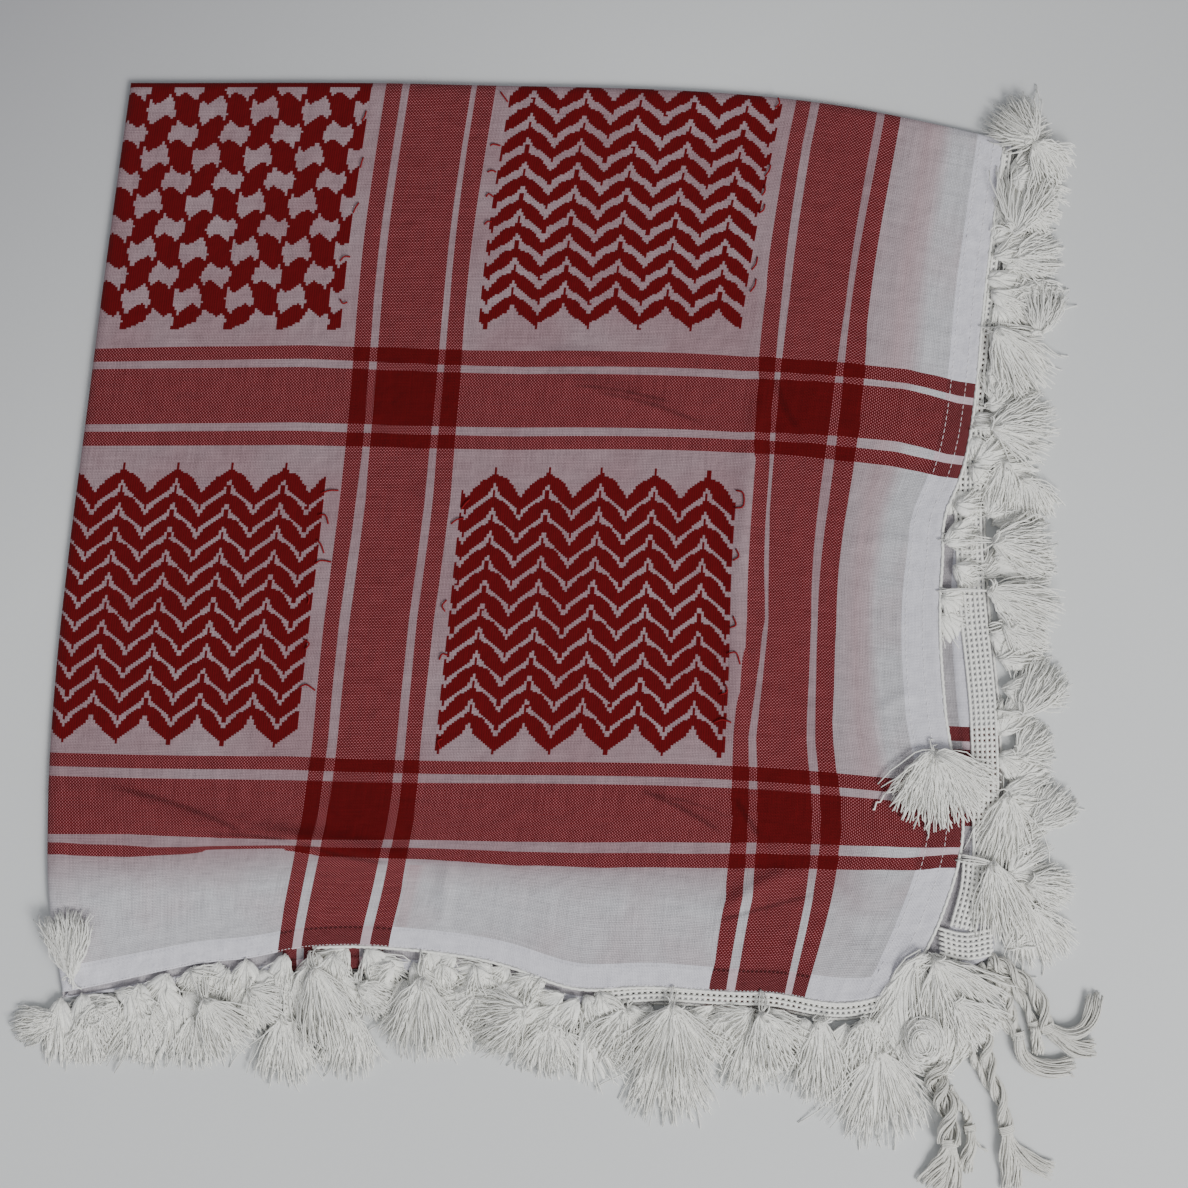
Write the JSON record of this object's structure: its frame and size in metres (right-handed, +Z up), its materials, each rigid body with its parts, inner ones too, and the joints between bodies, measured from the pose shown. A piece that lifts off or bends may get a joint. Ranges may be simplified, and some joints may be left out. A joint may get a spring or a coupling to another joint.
{
  "type": "keffiyeh headscarf",
  "caption": "Red and white checked cotton keffiyeh with a tasselled edge and braided corner cords, folded in four and lying flat.",
  "frame": {"origin": "middle of the bounding box's underside, on the surface that the folded cloth lies on", "axes": "+X towards the right free hem, +Y towards the far fold, +Z up"},
  "size_m": [0.7438, 0.765, 0.0146],
  "materials": {
    "cloth": "matte plain-weave cotton with red float pattern",
    "hidden": "matte plain-weave cotton",
    "yarn": "soft off-white cotton yarn",
    "braid": "braided off-white cotton yarn"
  },
  "bodies": {
    "root": {"cloth_top_layer": "cloth", "cloth_hidden_layers": "hidden", "fringe_right_top": "yarn", "fringe_right_second": "yarn", "fringe_right_lower": "yarn", "fringe_near_top": "yarn", "fringe_near_second": "yarn", "fringe_near_lower": "yarn", "tassel_over_right_hem": "yarn", "tassel_over_left_corner": "yarn", "corner_braid_1": "braid", "corner_braid_2": "braid", "corner_braid_3": "braid", "corner_braid_4": "braid", "corner_braid_5": "braid"}
  },
  "joints": []
}
